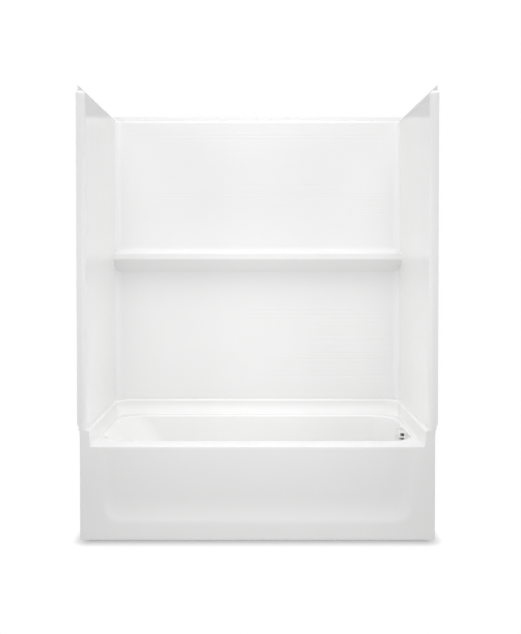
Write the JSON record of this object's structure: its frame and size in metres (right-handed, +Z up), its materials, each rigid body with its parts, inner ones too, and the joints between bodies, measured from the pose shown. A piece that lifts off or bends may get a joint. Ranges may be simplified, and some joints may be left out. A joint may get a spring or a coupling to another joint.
{
  "type": "tub and shower combo",
  "caption": "White alcove bathtub with a recessed apron and three glossy wall panels, a full-width shelf, a slotted overflow cover and a lift-and-turn drain stopper.",
  "frame": {"origin": "on the floor, under the middle of the unit's width and depth", "axes": "+X to the right as seen from the front (the drain end), +Y from the apron to the back wall, +Z up"},
  "size_m": [1.53, 0.768, 1.93],
  "materials": {
    "tub_acrylic": "glossy white",
    "wall_acrylic": "glossy white",
    "foam": "coarse rigid foam",
    "white_seal": "satin",
    "steel": "plain",
    "satin_nickel": "satin",
    "black_rubber": "matt",
    "pipe_plastic": "satin white",
    "nut_plastic": "satin white"
  },
  "bodies": {
    "fixed_unit": {"bathtub": "tub_acrylic", "foam_bed": "foam", "back_wall": "wall_acrylic", "left_end_wall": "wall_acrylic", "right_end_wall": "wall_acrylic", "back_seal": "white_seal", "left_seal": "white_seal", "right_seal": "white_seal", "left_corner_clips": "steel", "right_corner_clips": "steel", "overflow_cover": "satin_nickel", "overflow_screws": "steel", "overflow_gasket": "black_rubber", "overflow_elbow": "pipe_plastic", "overflow_tube": "pipe_plastic", "drain_flange": "satin_nickel", "drain_gasket": "black_rubber", "drain_shoe": "pipe_plastic", "waste_tube": "pipe_plastic", "waste_tee": "pipe_plastic", "slip_nuts": "nut_plastic", "slip_washers": "black_rubber", "stopper_post": "steel"},
    "stopper_lifter": {"stopper_sleeve": "steel"},
    "stopper": {"stopper_seal": "black_rubber", "stopper_cap": "satin_nickel", "stopper_knob": "satin_nickel"}
  },
  "joints": [
    {"name": "stopper_lift", "type": "slide", "parent": "fixed_unit", "child": "stopper_lifter", "axis": [0, 0, 1], "range_m": [0, 0.01]},
    {"name": "stopper_turn", "type": "hinge", "parent": "stopper_lifter", "child": "stopper", "pos_m": [0.56, -0.026, 0.1], "axis": [0, 0, 1], "range_deg": [0, 90]}
  ],
  "couplings": [
    {"joint": "stopper_lift", "follows": "stopper_turn", "m_per_rad": 0.006366}
  ]
}
